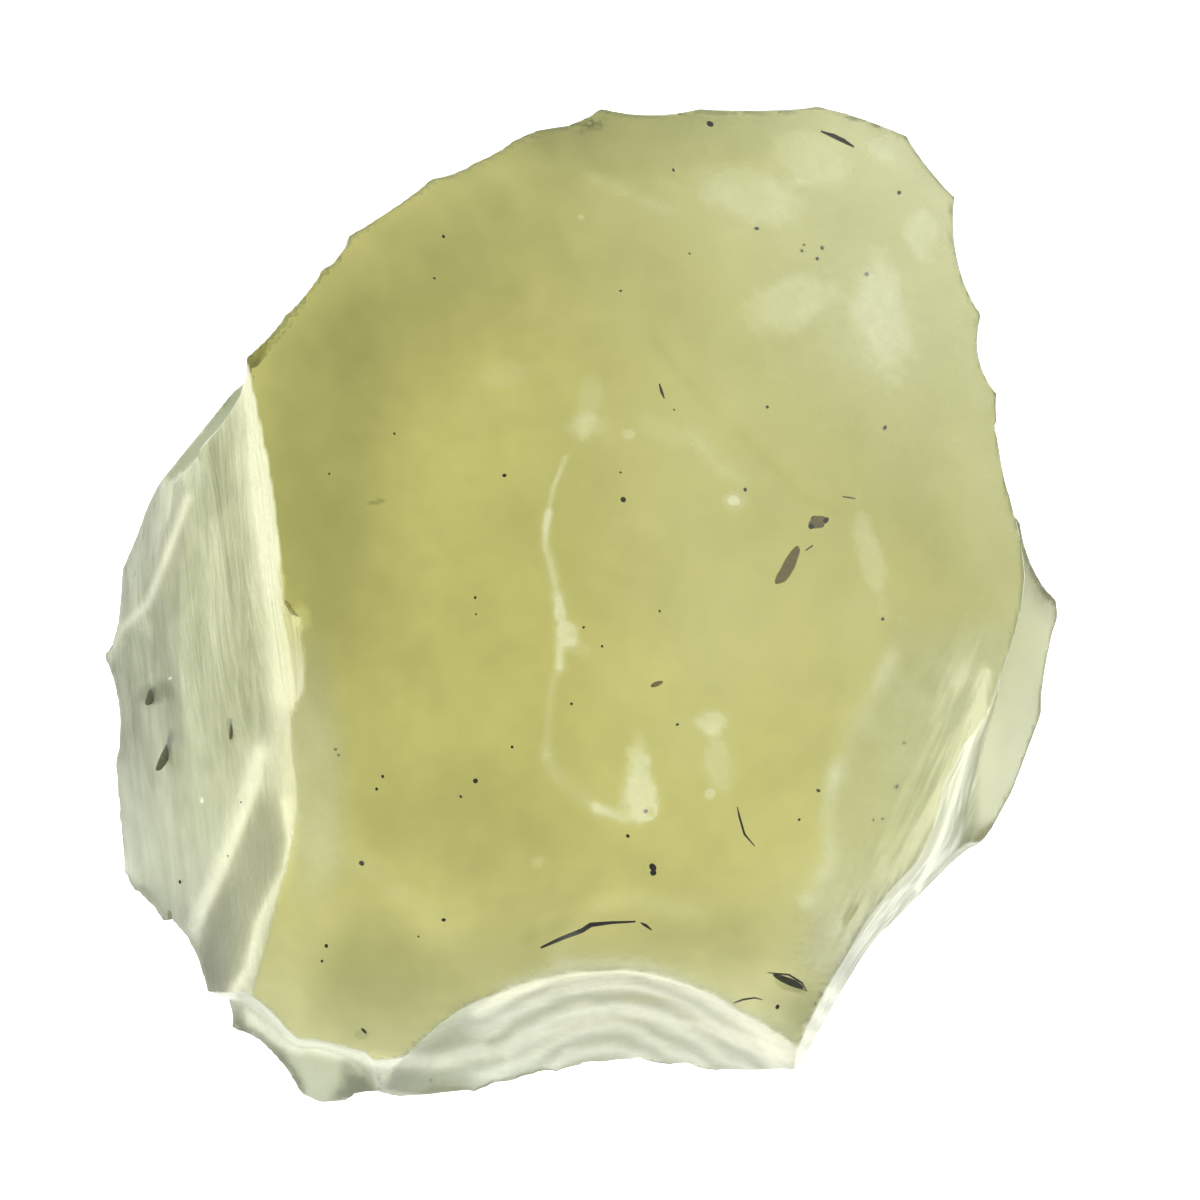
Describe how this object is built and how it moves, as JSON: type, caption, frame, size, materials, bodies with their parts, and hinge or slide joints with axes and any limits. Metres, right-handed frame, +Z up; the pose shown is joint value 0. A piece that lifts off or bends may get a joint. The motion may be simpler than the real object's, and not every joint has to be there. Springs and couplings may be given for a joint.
{
  "type": "libyan desert glass",
  "caption": "Broken lump of natural yellow glass with shell-shaped scars, a stepped flake and a chipped rim, lying on its flattest face as a mineral specimen.",
  "frame": {"origin": "under the middle of the lump, on the face it rests on", "axes": "+Z up from the resting face, through the thickness; +Y along the longest side, to the chipped rim at the picture's top; +X to the picture's right"},
  "size_m": [0.0406, 0.042, 0.0186],
  "materials": {
    "desert_glass": "fresh fracture, faintly frosted"
  },
  "bodies": {
    "root": {"glass_fragment": "desert_glass"}
  },
  "joints": []
}
